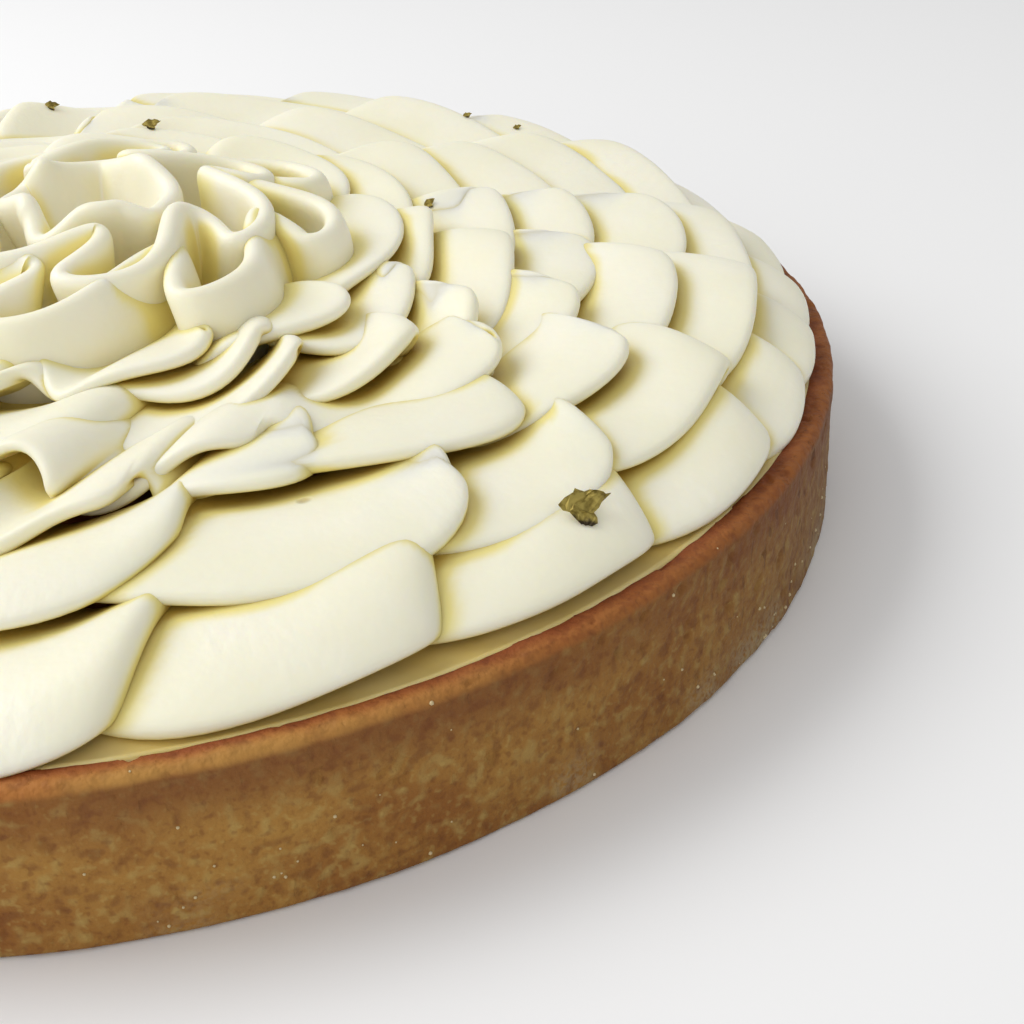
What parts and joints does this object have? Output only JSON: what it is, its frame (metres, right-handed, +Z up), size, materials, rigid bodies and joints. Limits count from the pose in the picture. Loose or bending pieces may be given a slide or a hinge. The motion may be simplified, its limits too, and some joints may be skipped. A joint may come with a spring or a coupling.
{
  "type": "lemon tart",
  "caption": "Round lemon tart in a pastry shell, topped with piped whipped cream in overlapping ruffles around a rosette, with a flake of gold leaf. It stands flat on its base.",
  "frame": {"origin": "centre of the tart's base, on the surface it stands on", "axes": "+Z up through the centre of the tart; +X and +Y lie in the plane of the base, -Y towards the side seen in front"},
  "size_m": [0.1992, 0.1998, 0.0469],
  "materials": {
    "pastry": "matt, sandy baked crust",
    "filling": "matt, browned by baking",
    "lemon_cream": "smooth, slightly glossy",
    "whipped_cream": "satin, moist",
    "gold_leaf": "thin crumpled metal leaf"
  },
  "bodies": {
    "root": {"pastry_shell": "pastry", "baked_filling": "filling", "lemon_band": "lemon_cream", "ruffled_cream": "whipped_cream"}
  },
  "joints": []
}
